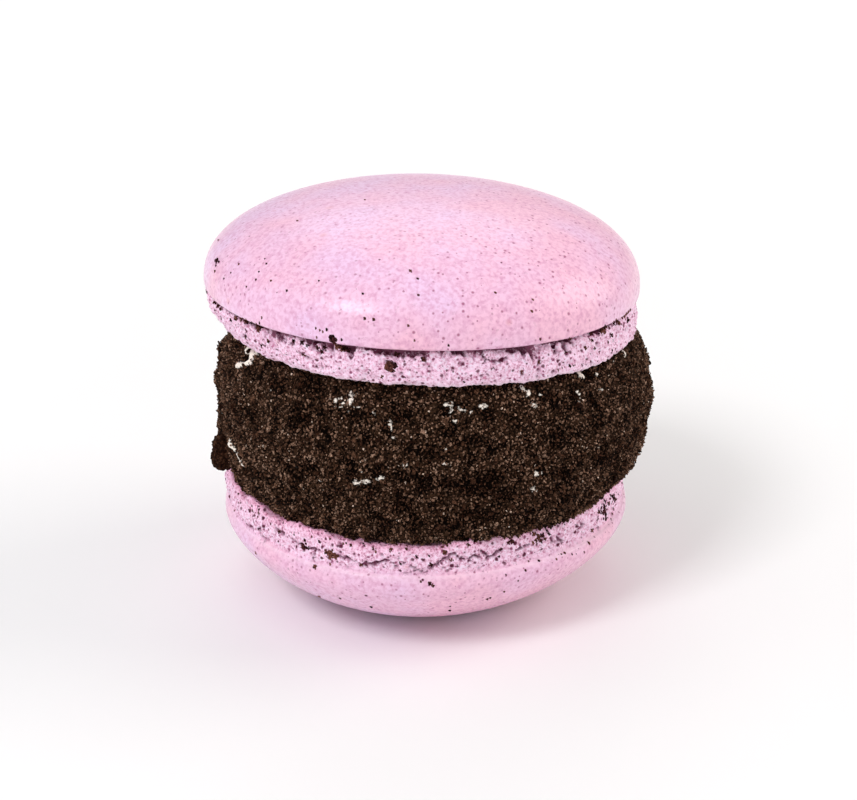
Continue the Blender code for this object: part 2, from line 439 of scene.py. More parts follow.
# section of the foot at one angle, from the cap's edge to the underside: radius, height, and how far it is foot,
# painted shade of the crevice, pale lip of painted light, and damp from the filling with painted shade
def footSection(angle, form):
    shoulder, rim, depth, radius = form["shoulder"], form["rim"], shellMesh["footDepth"], form["radius"]
    edge = form["edge"] + form["edgeRise"] * max(0, math.sin(angle - 0.2)) ** 3
    # the lower shell has no crevice: a thin lip along the cap's edge, paler on its ridge, in part dried sugar and in
    # part painted highlight, then a smooth slope into the foot
    if form is lowerForm:
        rise, _ = rimRise(-angle)
        return [
            (radius, 0, 0, 0, 0, 0),
            (radius - 0.06, -0.5 * edge, 0, 0, 0, 0),
            # the lip's paler ridge: in part dried sugar, in part painted highlight
            (radius - 0.22, -0.88 * edge, 0, 0, 0.2, 0),
            (radius - 0.42, -0.99 * edge, 0, 0, 0.45, 0),
            (radius - 0.6, -edge - 0.14, 0.15, 0.12, 0.1, 0),
            (radius - 0.62, -edge - 0.4, 0.5, 0, 0, 0),
            (shoulder - 0.05, -edge - 0.7, 0.9, 0, 0, 0),
            (shoulder + 0.05, -edge - 1.1, 1, 0, 0, 0),
            (0.65 * shoulder + 0.35 * rim + 0.12, -0.7 * depth - 0.35 * rise, 1, 0, 0, 0),
            # damp from the filling: a pink stain darkened with painted shade under it
            (0.2 * shoulder + 0.8 * rim + 0.1, -0.9 * depth - 0.85 * rise, 1, 0, 0, 0.35),
            (rim - 0.3, -depth - rise, 1, 0, 0, 0.9),
            (rim - 1.6, -depth, 0.6, 0, 0, 1),
        ]
    gape = opening(angle, form)
    # deep here and shallow there; the painted shade of the crevice is darker where it is deep
    deep = smooth(-0.2, 0.2, noise.noise(Vector((math.cos(angle), math.sin(angle), form["seed"])) * 11))
    wall = shoulder - 0.1 - (0.2 + 0.6 * deep) * min(1, 1.6 * gape)
    dark = 0.35 + 0.65 * deep
    lip = -0.97 * edge
    return [
        (radius, 0, 0, 0, 0, 0),
        (radius - 0.13 * edge, -0.5 * edge, 0, 0, 0, 0),
        (radius - 0.64 * form["lipIn"] * edge, -0.88 * edge, 0, 0, 0, 0),
        (radius - form["lipIn"] * edge, lip, 0, min(1, 0.5 + 2 * gape), 0, 0),
        (wall, lip - 0.05, 0.6, min(1, 0.6 + 3 * gape), 0, 0),
        (wall + 0.12, lip - 0.1 - 0.7 * gape, 1, min(0.8, 3 * gape) * dark, 0, 0),
        (shoulder - 0.15, lip - 0.12 - 0.92 * gape, 1, min(0.4, gape) * dark, 0, 0),
        (shoulder + 0.05, lip - 0.35 - gape, 1, 0, 0, 0),
        (0.65 * shoulder + 0.35 * rim + 0.12, -0.7 * depth, 1, 0, 0, 0),
        # paler next to the filling: painted light against the shade there
        (0.2 * shoulder + 0.8 * rim + 0.1, -0.9 * depth, 1, 0, 0.15, 0),
        (rim - 0.3, -depth, 0.7, 0, 0.8, 0),
        (rim - 1.6, -depth, 0.3, 0, 0, 0),
    ]


# points along a Catmull-Rom curve through a section
def alongSection(section, steps):
    made = []
    for i in range(len(section) - 1):
        a, b, c, d = (section[max(0, min(len(section) - 1, i + k))] for k in (-1, 0, 1, 2))
        for j in range(steps[i]):
            t = j / steps[i]
            made.append(tuple(
                0.5 * (2 * q + (r - p) * t + (2 * p - 5 * q + 4 * r - s) * t * t + (3 * q - p - 3 * r + s) * t**3)
                for p, q, r, s in zip(a, b, c, d)
            ))
    return made


# a point of a shell: place, then how far it is foot, painted crevice shade, painted pale lip, and damp with painted
# shade
def shellPoint(angle, radius, height, shares=(0, 0, 0, 0), slide=0):
    return (radius * math.cos(angle) + slide, radius * math.sin(angle), height, *shares)


def makeShell(name, form):
    rings, columns, depth, slid, lumps = [], [], shellMesh["footDepth"], form["slide"], form["lumps"]
    for radius, height in domeCurve(form):
        share = radius / form["radius"]
        count = 1 if radius == 0 else shellMesh["footPoints"] if share > shellMesh["footFrom"] else ringCount(radius)
        rings.append([shellPoint(angle, radius + lump(angle, lumps) * share**2, height) for angle in angles(count)])
    for angle in angles(shellMesh["footPoints"]):
        column = []
        for radius, height, *shares in alongSection(footSection(angle, form), shellMesh["footSteps"])[1:]:
            wide = radius + lump(angle, lumps) + flare(angle, height, form)
            column.append(shellPoint(angle, wide, height, shares, slid * (max(0, -height) / depth) ** 1.5))
        columns.append(column)
    rings += zip(*columns)
    radius = form["rim"] - 2
    while radius > 1.5:
        ring = []
        for angle in angles(max(shellMesh["leastPoints"], len(rings[-1]) // 2)):
            wide = radius + lump(angle, lumps) * radius / form["radius"]
            ring.append(shellPoint(angle, wide, -depth, slide=slid))
        rings.append(ring)
        radius *= shellMesh["shrink"]
    rings.append([shellPoint(0, 0, -depth, slide=slid)])
    flat = [point for ring in rings for point in ring]
    labels = {label: [point[i] for point in flat] for i, label in enumerate(("foot", "hollow", "lip", "damp"), 3)}
    piece = newPiece(name, [form["place"] @ Vector(point[:3]) * mm for point in flat], ringFaces(rings), labels)
    outward(piece)
    # crumbs of the scatter lie where the photograph can't see, mostly on the foot
    behind = []
    for vertex, point in zip(piece.data.vertices, flat):
        facing = vertex.normal.dot((eye - vertex.co).normalized())
        behind.append(smooth(-0.08, -0.3, facing) * (0.12 + 0.88 * point[3]) * smooth(1, 2, vertex.co.z / mm))
    keepValues(piece, "behind", behind)
    return piece


shellTop = makeShell("shellTop", upperForm)
shellBottom = makeShell("shellBottom", lowerForm)
print("shell meshes made:", len(shellTop.data.vertices), len(shellBottom.data.vertices), "points")


# Creases torn in the feet while they baked: width in pixels of the photograph, then points along each.

upperCreases = (
    (3, (278, 333), (280, 338), (286, 342.5), (293, 343.5)), (3, (483, 357), (488, 361), (497, 361.5), (507, 358.5)),
    (3, (552, 345), (556, 351)), (3, (564, 346), (567, 353), (571, 352)), (3, (313, 345), (319, 352)),
    (4, (243.5, 335.5), (249, 338)), (4, (300.5, 353), (305.5, 356)), (2.5, (521, 371), (523, 374)),
    (3, (539, 361), (539, 363.5)),
)
lowerCreases = (
    (2, (247.2, 525), (254.8, 529)), (3, (257.9, 527.4), (259.4, 531.3)), (2, (259.4, 535), (267.8, 540.4)),
    (3.5, (277, 529.7), (282.4, 535)), (2, (292.3, 539), (298.5, 543.5), (308.4, 549), (313.8, 549.6), (318.3, 552.3)),
    (2, (313.8, 549.6), (313, 559)), (2.5, (338, 555.7), (346, 558.6), (354, 560.4), (360.4, 563), (368.4, 564.4)),
    (5, (366, 564.4), (375, 563.5)), (2.5, (375, 563.5), (383.6, 560.4), (390.7, 561.7)), (3, (360, 564), (362, 566)),
    (2, (396, 567.5), (399.6, 571), (406.8, 573.8), (415.7, 571)), (2, (410.4, 566.6), (419.3, 570.2), (424.6, 573.8)),
    (2.5, (424.6, 573.8), (428.2, 569.3), (437, 564.8), (447.9, 556.8), (455, 554), (464, 559.5), (470, 561)),
    (2.5, (460, 560), (466.5, 560), (473, 556), (479.5, 557.5)), (2, (486, 560), (495.8, 554.8), (501.2, 549.4)),
    (2, (481.7, 551.6), (487, 556)), (3, (551, 538.6), (554.4, 543)), (3, (558.7, 537.5), (563, 541.8)),
    (2.5, (577, 533), (578, 529), (582.6, 524.5)), (2, (399, 558), (404, 564)),
    (2, (516, 551), (528, 545), (533, 545)),
)


# the creases of a shell, and wandering ones of the same kind on the side that the photograph doesn't show
def makeCreases(form, surface, drawn):
    lines = photoLines(surface, drawn)
    draw = random.Random(form["seed"])
    count, highest, lowest = form["moreCreases"]
    for i in range(count):
        angle = math.radians(-15 + 210 * (i + draw.random()) / count)  # round the back, from side to side
        height = draw.uniform(highest, lowest)
        lines.append([])
        for k in range(draw.choice((1, 2, 3, 4, 6))):
            around = Vector((form["shoulder"] * math.cos(angle), form["shoulder"] * math.sin(angle), height))
            if form is lowerForm:  # its place turns it upside down
                around.y = -around.y
            width = draw.choice((2, 2, 2.5, 3, 4)) / photoView["pixelsPerMm"]
            lines[-1].append((form["place"] @ around * mm, width))
            angle += draw.uniform(0.02, 0.045)
            height = min(highest, max(lowest, height + draw.uniform(-0.45, 0.45)))
    return lineObject("creases", lines)


# Relief of the bake: lobes, bubbles and pores on the foot, a faintly dimpled skin on the cap. Sizes in mm.

bakeRelief = {
    "Lobe Size": 1.7,
    "Lobe Depth": 0.75,
    "Grain Size": 0.62,
    "Grain Depth": 0.85,
    "Pore Size": 0.75,
    "Pore Depth": 0.35,
    "Crease Depth": 0.38,
    "Skin Size": 2.2,
    "Skin Depth": 0.035,
}
bakePattern = {
    "waves": (("Lobe", 1.5, 0.5), ("Grain", 2, 0.6), ("Skin", 2, 0.5)),  # detail and roughness
    "pores": (0.45, 0.4, 1.5),  # share of cells without one, widest in cells, steepness
    "rag": (0.42, 0.64, 0.03, 1.3),  # noise to a crease's width
    "ragPerMm": 1.3,
    "wander": (-0.42, 0.3),  # mm to either side of its line
    "wanderPerMm": 3,
}


def bakeTree():
    add, given, result = newTree("ovenBake", bakeRelief, Creases="Object")
    inMm = add("VectorMath", {0: add("GeometryNodeInputPosition"), "Scale": 1000}, operation="SCALE")
    foot = add("GeometryNodeInputNamedAttribute", ["foot"])
    sizes, rises = {}, {}
    for label in ("Lobe", "Grain", "Pore", "Skin"):
        sizes[label] = add("Math", (1, given[label + " Size"]), operation="DIVIDE")
    for label, detail, roughness in bakePattern["waves"]:
        waves = add("TexNoise", {"Vector": inMm, "Scale": sizes[label], "Detail": detail, "Roughness": roughness})
        waves = add("Math", (waves, 0.5), operation="SUBTRACT")
        rises[label] = add("Math", (waves, given[label + " Depth"]), operation="MULTIPLY")

    # some cells of a Voronoi hold a pore, each of its own size
    pores = add("TexVoronoi", {"Vector": inMm, "Scale": sizes["Pore"]})
    pick = add("FunctionNodeSeparateColor", [pores.outputs["Color"]])
    empty, widest, steep = bakePattern["pores"]
    wide = add("MapRange", (pick, empty, 1, 0.001, widest))
    pore = add("MapRange", (pores.outputs["Distance"], wide, 0, 0, steep))
    pore = add("Math", (pore, 1), operation="MINIMUM")

    # creases are measured from their lines, with a ragged width
    distance, width = fromLines(add, given["Creases"])
    rag = add("TexNoise", {"Vector": inMm, "Scale": bakePattern["ragPerMm"]})
    rag = add("MapRange", (rag, *bakePattern["rag"]))
    reach = add("Math", (width, rag), operation="MULTIPLY")
    wander = add("TexNoise", {"Vector": inMm, "Scale": bakePattern["wanderPerMm"]})
    wander = add("MapRange", (wander, 0, 1, *bakePattern["wander"]))
    apart = add("Math", (distance, 1000, wander), operation="MULTIPLY_ADD")
    crease = add("MapRange", (apart, reach, 0, 0, 1), interpolation_type="SMOOTHSTEP")

    rough = add("Math", (rises["Lobe"], rises["Grain"]), operation="ADD")
    for hole, depth in ((pore, "Pore Depth"), (crease, "Crease Depth")):
        fall = add("Math", (hole, given[depth]), operation="MULTIPLY")
        rough = add("Math", (rough, fall), operation="SUBTRACT")
    rough = add("Math", (rough, foot), operation="MULTIPLY")
    rise = add("Math", (rough, rises["Skin"]), operation="ADD")
    # the pits' depth is kept for the material, which darkens them: painted shade in pores and creases
    pit = add("Math", (pore, crease), operation="MAXIMUM")
    pit = add("Math", (pit, foot), operation="MULTIPLY")
    kept = add("GeometryNodeStoreNamedAttribute", {"Geometry": given["Geometry"], "Name": "pit", "Value": pit})
    return closeTree(add, given, result, raised(add, kept, rise))


# Baked almond meringue: ground almonds and sugar dried to a satin skin over a crumbly, bubbled foot. The eye gets
# a pale pink, finely mottled with almond skin and dotted with cookie dust, dustier where it is torn. Painted light:
# the lip paler along the cap's edge, in part dried sugar, and beside the filling, and the foot's granule tops. Painted
# shade: darker crevice, pores, creases and gaps of the foot, and a darker, pinker foot where the filling meets it.
meringueLook = {
    "lilac": "#f1cbea",
    "rosy": "#f8c3d9",
    "mottle": "#d28bb2",
    # painted highlight on the tops of the foot's granules
    "footPeakHighlight": "#ffeafd",
    "foot": "#ffd6ef",
    "footShade": "#c07495",
    # painted light: paler along the lower cap's edge ridge, in part dried sugar, and where the filling meets the foot
    "lip": "#ffe6f3",
    # a damp pink stain from the filling, also darker as painted shade under it
    "damp": "#ffdbe6",
    # painted shade in the crevice under the cap's edge
    "hollow": "#7c3a57",
    # painted shade in the foot's pores and creases
    "pit": "#640a3c",
    "toneMm": 8.0,
    "mottleMm": 0.46,
    "granuleMm": 0.26,
    "blotchMm": 0.6,
    "bumpMm": 0.12,
    "gloss": (0.27, 0.85),  # roughness of the cap and of the foot
    "ior": 1.45,
    # the cap is palest round a spot and turns rosier from it outwards: both lengths in mm, then what the tone gains
    "paleSpot": (-9, -4),
    "paleReach": (3, 24),
    "rosier": (-0.14, 0.12),
    # where each colour starts and is full, in the noise that it comes from, and how strong it gets at most
    "toneStops": (0.33, 0.67),
    "mottleStops": (0.41, 0.72),
    "mottleMost": 0.66,
    "gapStops": (0.56, 0.98),
    "blotchStops": (0.36, 0.64),
    "creviceShadeStops": (0.95, 1.3),
    "creviceShadeMost": 0.95,
    "pitShadeMost": 0.9,
    # dots in cells: their spacing in mm, the share of cells without one, widest, strength, edge, colour, and where
    "dots": {
        "blush": (5.0, 0.3, 0.16, 0.4, 1.2, "#d98c92", None),
        "freckle": (0.5, 0.64, 0.48, 0.85, 1.6, "#a04f72", "rosySide"),
        "dust": (2.1, 0.55, 0.11, 1, 2.5, "#5c1636", None),
        # pores in the foot: dark dots of painted shade
        "bubbleShade": (0.5, 0.25, 0.46, 0.85, 2, "#8a3560", "foot"),
        "footSpeck": (0.62, 0.42, 0.42, 0.9, 2.4, "#5c1636", "foot"),
        "footDot": (1.0, 0.42, 0.35, 1, 2.8, "#5c1636", "foot"),
    },
}


def almondMeringue(look):
    material, add, shader = newMaterial("bakedAlmondMeringue")
    place = add("TexCoord").outputs["Object"]
    labels = ("foot", "hollow", "pit", "lip", "damp")
    foot, hollow, pit, lip, damp = (add("Attribute", attribute_name=label).outputs["Fac"] for label in labels)
    # rosier towards the sides
    side = add("VectorMath", (place, (1, 0.8, 0)), operation="MULTIPLY")
    middle = (*(part * mm for part in look["paleSpot"]), 0)
    side = add("VectorMath", (side, middle), operation="DISTANCE").outputs["Value"]
    side = add("MapRange", (side, *(part * mm for part in look["paleReach"]), *look["rosier"]))
    rosySide = add("MapRange", (side, -0.06, 0.04, 0.55, 1))
    tone = add("TexNoise", {"Vector": place, "Scale": 1000 / look["toneMm"]})
    tone = add("Math", (tone, side), operation="ADD")
    tone = add("ValToRGB", [tone], stops=zip(look["toneStops"], (look["lilac"], look["rosy"])))
    mottle = add("TexNoise", {"Vector": place, "Scale": 1000 / look["mottleMm"], "Detail": 3, "Distortion": 0.4})
    mottled = add("ValToRGB", [mottle], stops=zip(look["mottleStops"], (0, look["mottleMost"])))
    # the foot is granular: painted shade in the gaps, painted highlight on the granule tops, and pinker and darker
    # where the filling damps and shades it
    granules = add("TexNoise", {"Vector": place, "Scale": 1000 / look["granuleMm"], "Detail": 3, "Roughness": 0.6})
    gaps = add("Math", (mottle, 0.5, granules), operation="MULTIPLY_ADD")
    gaps = add("MapRange", (gaps, *look["gapStops"], 0, 1))
    gaps = add("ValToRGB", [gaps], stops=[(0, look["footPeakHighlight"]), (0.4, look["foot"]), (1, look["footShade"])])
    dampedAndShaded = add("Mix", {0: damp, 6: gaps, 7: look["damp"]}, data_type="RGBA", blend_type="MULTIPLY").outputs[2]
    # painted shade in the crevice, blotched, as lumps of foot stand in it
    blotch = add("TexNoise", {"Vector": place, "Scale": 1000 / look["blotchMm"], "Detail": 4, "Roughness": 0.7})
    blotch = add("MapRange", (blotch, *look["blotchStops"], 0, 1))
    dark = add("Math", (hollow, 1.3, blotch), operation="MULTIPLY_ADD")
    dark = add("MapRange", (dark, *look["creviceShadeStops"], 0, look["creviceShadeMost"]))
    pit = add("Math", (pit, look["pitShadeMost"]), operation="MULTIPLY")
    # layers over the tone: the lip adds painted light, the crevice and pits painted shade
    layers = [(mottled, look["mottle"]), (foot, dampedAndShaded), (lip, look["lip"]), (dark, look["hollow"]), (pit, look["pit"])]
    # blushes, freckles and dust, and pores of the foot darkened as painted shade: dots in some cells of a Voronoi, each
    # of its own size
    masks = {"rosySide": rosySide, "foot": foot}
    for spacing, empty, widest, strength, edge, tint, where in look["dots"].values():
        cells = add("TexVoronoi", {"Vector": place, "Scale": 1000 / spacing})
        pick = add("SeparateColor", [cells.outputs["Color"]])
        wide = add("MapRange", (pick, empty, 1, 0.001, widest))
        share = add("MapRange", (cells.outputs["Distance"], wide, 0, 0, edge * strength))
        share = add("Math", (share, strength), operation="MINIMUM")
        if where:
            share = add("Math", (share, masks[where]), operation="MULTIPLY")
        layers.append((share, tint))
    colour = tone
    for share, tint in layers:
        colour = add("Mix", {0: share, 6: colour, 7: tint}, data_type="RGBA").outputs[2]
    gloss = add("MapRange", (foot, 0, 0.6, *look["gloss"]))
    fine = add("TexNoise", {"Vector": place, "Scale": 1000 / look["granuleMm"]})
    depth = add("MapRange", (foot, 0, 1, 0.2, 1))
    bump = add("Bump", {"Strength": depth, "Distance": look["bumpMm"] * mm, "Height": fine})
    feed(shader, {"Base Color": colour, "Roughness": gloss, "IOR": look["ior"], "Normal": bump})
    return material


meringue = almondMeringue(meringueLook)
baking = bakeTree()
for shell, form, drawn in ((shellTop, upperForm, upperCreases), (shellBottom, lowerForm, lowerCreases)):
    creases = makeCreases(form, surfaceOf(shell), drawn)
    runTree(shell, baking, {**bakeRelief, "Creases": creases, "Material": meringue})
    bpy.data.objects.remove(creases)
print("shells baked")


# Filling: a barrel of cream rolled in cookie crumbs. The bed carries the cream's colour and the finest crumb.

filling = {
    "bottom": 14.72,
    "bottomRadius": 22.75,
    "bottomCentre": (0.6, -0.3),
    "middleRadius": 25.2,
    "topRadius": 23.0,
    "centre": (1.03, 0),
    "bottomPower": 3.2,
    "topPower": 2.6,
    "gapAbove": 0.07,
    "corner": 0.45,
    "capInset": 5,  # how far in from the side the flat ends close
    "lumps": ((2, 0.14, 0.3), (3, 0.16, 1.2), (5, 0.06, 2.6)),
    "bumps": ((0.3, 4.2), (0.45, 1.9), (0.2, 1.05)),  # height and size
    "grooves": ((228, 0.95, 0.6), (180, 0.86, 0.8)),  # degrees round, share of the height where it starts, depth
    "bulges": (  # degrees round, height, width, how far out
        (-2, 22.8, 2.6, 0.65), (-15, 16.4, 2.2, -0.9), (0, 31.6, 1.5, 0.3), (-8, 27.5, 1.2, -0.3),
        (182, 31.5, 1.6, -0.8),
    ),
    "points": 600,
    "rows": 72,
}


def fillingTop(x):
    level = upperSeat["z"] - shellMesh["footDepth"] * math.cos(upperSeat["tilt"]) - filling["gapAbove"]
    return level - (x - upperSeat["x"]) * math.tan(upperSeat["tilt"])


# how far the lower edge of the filling stands out from its plain outline
def raggedEdge(angle):
    around = Vector((math.cos(angle), math.sin(angle), 3))
    _, radius = rimRise(angle)
    return radius - filling["bottomRadius"] + 0.55 * noise.noise(around * 17) + 0.4 * noise.noise(around * 35)


def fillingPoint(angle, share, inset=0):
    half = "bottom" if share < 0.5 else "top"
    end, swell = filling[half + "Radius"], 1 - abs(2 * share - 1) ** filling[half + "Power"]
    radius = end + (filling["middleRadius"] - end) * swell + lump(angle, filling["lumps"]) - inset
    lean = smooth(0, 0.5, share)
    around = math.cos(angle), math.sin(angle)
    centres = zip(filling["bottomCentre"], filling["centre"], around)
    x, y = (start + lean * (middle - start) + radius * way for start, middle, way in centres)
    point = Vector((x, y, filling["bottom"] + share * (fillingTop(x) - filling["bottom"])))
    bumped = sum(size * noise.noise(point / pitch) for size, pitch in filling["bumps"])
    for toward, height, wide, size in filling["bulges"]:
        aside = radius * math.sin((angle - math.radians(toward)) / 2) * 2
        bumped += size * math.exp(-(aside * aside + (point.z - height) ** 2) / wide**2)
    low = 1 - smooth(0, 0.2, share)
    ragged = raggedEdge(angle) * low - lump(angle, filling["lumps"]) * low
    # the upper foot overhangs on the left and in front
    groove = max(
        depth * smooth(start, 1, share) * smooth(0, 0.6, math.cos(angle - math.radians(toward)))
        for toward, start, depth in filling["grooves"]
    )
    bumped = bumped * min(1, 8 * min(share, 1 - share)) + ragged - groove
    return point + bumped * Vector((*around, 0))


def makeBed():
    low, high = filling["bottomCentre"][0], filling["centre"][0]
    edge, cap, rows, count = (filling[key] for key in ("corner", "capInset", "rows", "points"))
    rings, side = [[Vector((low, 0, filling["bottom"]))]], [0]
    shares = [0.02 + 0.96 * i / (rows - 1) for i in range(rows)]
    for share, inset in [(0, cap), (0, edge), *((share, 0) for share in shares), (1, edge), (1, cap)]:
        ring = [fillingPoint(angle, share, inset) for angle in angles(count // 2 if inset == cap else count)]
        rings.append(ring)
        side += [0 if inset == cap else 0.6 if inset else 1] * len(ring)
    rings.append([Vector((high, 0, fillingTop(high)))])
    side.append(0)
    points = [point * mm for ring in rings for point in ring]
    piece = newPiece("fillingBed", points, ringFaces(rings), {"side": side})
    outward(piece)
    return piece


fillingBed = makeBed()


# Where white cream shows between the crumbs: width in pixels of the photograph, then points along the streak.
creamShows = (
    (12, (249, 350), (257, 352)), (8, (252, 355), (250, 362)), (6, (250, 363), (238, 366)),
    (3, (335, 399), (336, 406), (339, 408), (343, 405), (343, 397)), (4, (350, 393), (351, 404)),
    (3, (350, 394), (357, 394)), (3, (354, 406), (359, 407)), (2, (348, 411), (349, 412)), (2, (339, 418), (339, 420)),
    (3, (374, 413), (375, 415)), (4, (389, 422), (392, 428)), (2, (393, 437), (399, 441)),
    (4, (445, 405), (450, 403), (453, 409), (450, 415)), (3, (453, 420), (455, 421)),
    (4, (458, 408), (462, 411), (465, 411)), (4, (467, 412), (471, 413)), (3, (465, 401), (470, 404)),
    (3, (480, 406), (486, 406)), (2, (445, 449), (446, 449)), (3, (443, 462), (445, 462)), (3, (404, 464), (405, 467)),
    (2, (471, 426), (472, 426)), (2, (483, 428), (484, 428)), (6.5, (576, 371), (581, 377)),
    (7, (522, 388), (529, 393)), (3, (539, 394), (540, 394)), (4, (580, 400), (582, 400)), (3, (533, 405), (534, 406)),
    (3, (577, 390), (579, 394)), (3, (596, 374), (597, 375)), (3, (611, 360), (613, 361)),
    (4.5, (623, 352), (625, 355)), (3, (617, 381), (618, 381)), (3, (601, 388), (602, 389)),
    (5.5, (230.4, 440), (232, 446.6), (238.4, 454.6), (243.6, 465)), (3, (222, 411), (222, 413)),
    (2, (270, 390), (271, 390)), (2, (291, 378), (292, 378)), (2, (266, 430), (267, 430)), (4, (509, 526), (510, 527)),
    (3, (560, 491), (562, 491)), (3, (533, 488), (536, 491)), (3, (535, 474), (541, 473)),
    (3.5, (354, 484), (361, 481), (372, 481), (382, 478)), (2.5, (362, 472), (363, 478)), (2, (442, 463), (452, 464)),
    (3, (427, 480), (428, 481)), (2, (453, 479), (454, 479)), (3, (298, 468), (299, 472)), (2, (320, 481), (321, 482)),
    (2, (398, 521), (399, 522)), (2, (323, 489), (324, 490)),
)


# the streaks as lines on the bed, and more of the same kind on the side that the photograph doesn't show
def makeStreaks(surface):
    lines = photoLines(surface, creamShows)
    draw = random.Random(3)
    for i in range(60):
        angle = math.radians(draw.uniform(-12, 192))  # anywhere round the back
        share = draw.uniform(0.12, 0.95)
        width = draw.choice((2, 2, 2, 3, 3, 4, 5)) / photoView["pixelsPerMm"]
        lines.append([])
        for k in range(draw.choice((1, 1, 2, 4)) + 1):
            lines[-1].append((fillingPoint(angle, share) * mm, width))
            angle += draw.uniform(-0.02, 0.02)
            share = min(0.97, max(0.05, share + draw.uniform(-0.03, 0.03)))
    return lineObject("creamStreaks", lines)


# Relief of the bed in mm. "cream" is how far a point lies inside a streak; "crumbShare" is where crumbs may lie.
bedRelief = {"Crumb Size": 0.5, "Crumb Depth": 0.3, "Cream Rise": 0.3}
bedPattern = {
    "reach": 0.45,  # of a streak's width to either side
    "ragged": (-0.24, 0.16),  # mm that its edge moves in and out
    "raggedPerMm": 1.4,
    "crumbsOnCream": 0.12,  # share of crumbs left on it
    "crumbLevel": 0.4,
    "creamEdge": (-0.05, 0.25),  # mm inside the edge where it starts and ends to rise
}


def bedTree():
    add, given, result = newTree("crumbBed", bedRelief, Streaks="Object")
    inMm = add("VectorMath", {0: add("GeometryNodeInputPosition"), "Scale": 1000}, operation="SCALE")
    side = add("GeometryNodeInputNamedAttribute", ["side"])
    distance, width = fromLines(add, given["Streaks"])
    reach = add("Math", (width, bedPattern["reach"]), operation="MULTIPLY")
    apart = add("Math", (distance, 1000), operation="MULTIPLY")
    inside = add("Math", (reach, apart), operation="SUBTRACT")
    edge = add("TexNoise", {"Vector": inMm, "Scale": bedPattern["raggedPerMm"], "Detail": 1})
    edge = add("MapRange", (edge, 0.3, 0.7, *bedPattern["ragged"]))
    cream = add("Math", (inside, edge), operation="ADD")
    kept = add("GeometryNodeStoreNamedAttribute", {"Geometry": given["Geometry"], "Name": "cream", "Value": cream})
    bare = add("MapRange", (cream, -0.1, 0.1, 1, bedPattern["crumbsOnCream"]))
    bare = add("Math", (bare, side), operation="MULTIPLY")
    kept = add("GeometryNodeStoreNamedAttribute", {"Geometry": kept, "Name": "crumbShare", "Value": bare})
    size = add("Math", (1, given["Crumb Size"]), operation="DIVIDE")
    crumbs = add("TexVoronoi", {"Vector": inMm, "Scale": size})
    crumbRise = add("Math", (bedPattern["crumbLevel"], crumbs.outputs["Distance"]), operation="SUBTRACT")
    crumbRise = add("Math", (crumbRise, given["Crumb Depth"]), operation="MULTIPLY")
    creamRise = add("MapRange", (cream, *bedPattern["creamEdge"], 0, 1), interpolation_type="SMOOTHSTEP")
    creamRise = add("Math", (creamRise, given["Cream Rise"]), operation="MULTIPLY")
    rise = add("Math", (crumbRise, creamRise), operation="ADD")
    rise = add("Math", (rise, side), operation="MULTIPLY")
    return closeTree(add, given, result, raised(add, kept, rise))


# Whipped cream under cocoa crumb: off-white with a soft gloss where the crumbs leave it bare, and nearly black crumb
# dust everywhere else, painted this dark as the shade in the gaps between the crumbs.
bedLook = {
    "cream": "#fbf0e4", "dust": "#050100", "dustLight": "#3a271b", "dustMm": 0.24, "edgeMm": 0.28, "patchMm": 1.8,
    "shadePatches": (0.36, 0.54), "patchShade": (-0.14, 0.03), "dustStops": (0.42, 0.63),
    "ragged": (-0.14, 0.14), "creamEdge": (-0.03, 0.13),  # mm, as in the relief
    "bumpMm": 0.1, "gloss": (0.95, 0.5), "shine": 0.05,  # gloss is the roughness of the dust and of the cream
}


def crumbedCream(look):
    material, add, shader = newMaterial("whippedCreamAndCocoaDust")
    place = add("TexCoord").outputs["Object"]
    inside = add("Attribute", attribute_name="cream").outputs["Fac"]
    edge = add("TexNoise", {"Vector": place, "Scale": 1000 / look["edgeMm"]})
    edge = add("MapRange", (edge, 0.3, 0.7, *look["ragged"]))
    ragged = add("Math", (inside, edge), operation="ADD")
    cream = add("MapRange", (ragged, *look["creamEdge"], 0, 1))
    # the dust is nearly black: painted shade between the crumbs
    dust = add("TexNoise", {"Vector": place, "Scale": 1000 / look["dustMm"]})
    # painted shade: darker patches for hollows in the crumb coat, where the crumbs above are darker too
    shadePatch = add("TexNoise", {"Vector": place, "Scale": 1000 / look["patchMm"], "Detail": 1})
    shadePatch = add("MapRange", (shadePatch, *look["shadePatches"], *look["patchShade"]))
    dark = add("Math", (dust, shadePatch), operation="ADD")
    dark = add("ValToRGB", [dark], stops=zip(look["dustStops"], (look["dust"], look["dustLight"])))
    mixed = add("Mix", {0: cream, 6: dark, 7: look["cream"]}, data_type="RGBA").outputs[2]
    gloss = add("MapRange", (cream, 0, 1, *look["gloss"]))
    bump = add("Bump", {"Strength": 0.5, "Distance": look["bumpMm"] * mm, "Height": dust})
    feed(shader, {"Base Color": mixed, "Roughness": gloss, "Specular IOR Level": look["shine"], "Normal": bump})
    return material


streaks = makeStreaks(surfaceOf(fillingBed))
runTree(fillingBed, bedTree(), {**bedRelief, "Streaks": streaks, "Material": crumbedCream(bedLook)})
bpy.data.objects.remove(streaks)
print("filling bed made")


# Crumbs: angular bits of crushed cookie, a few dozen faces each, scattered over a surface or set at given places.

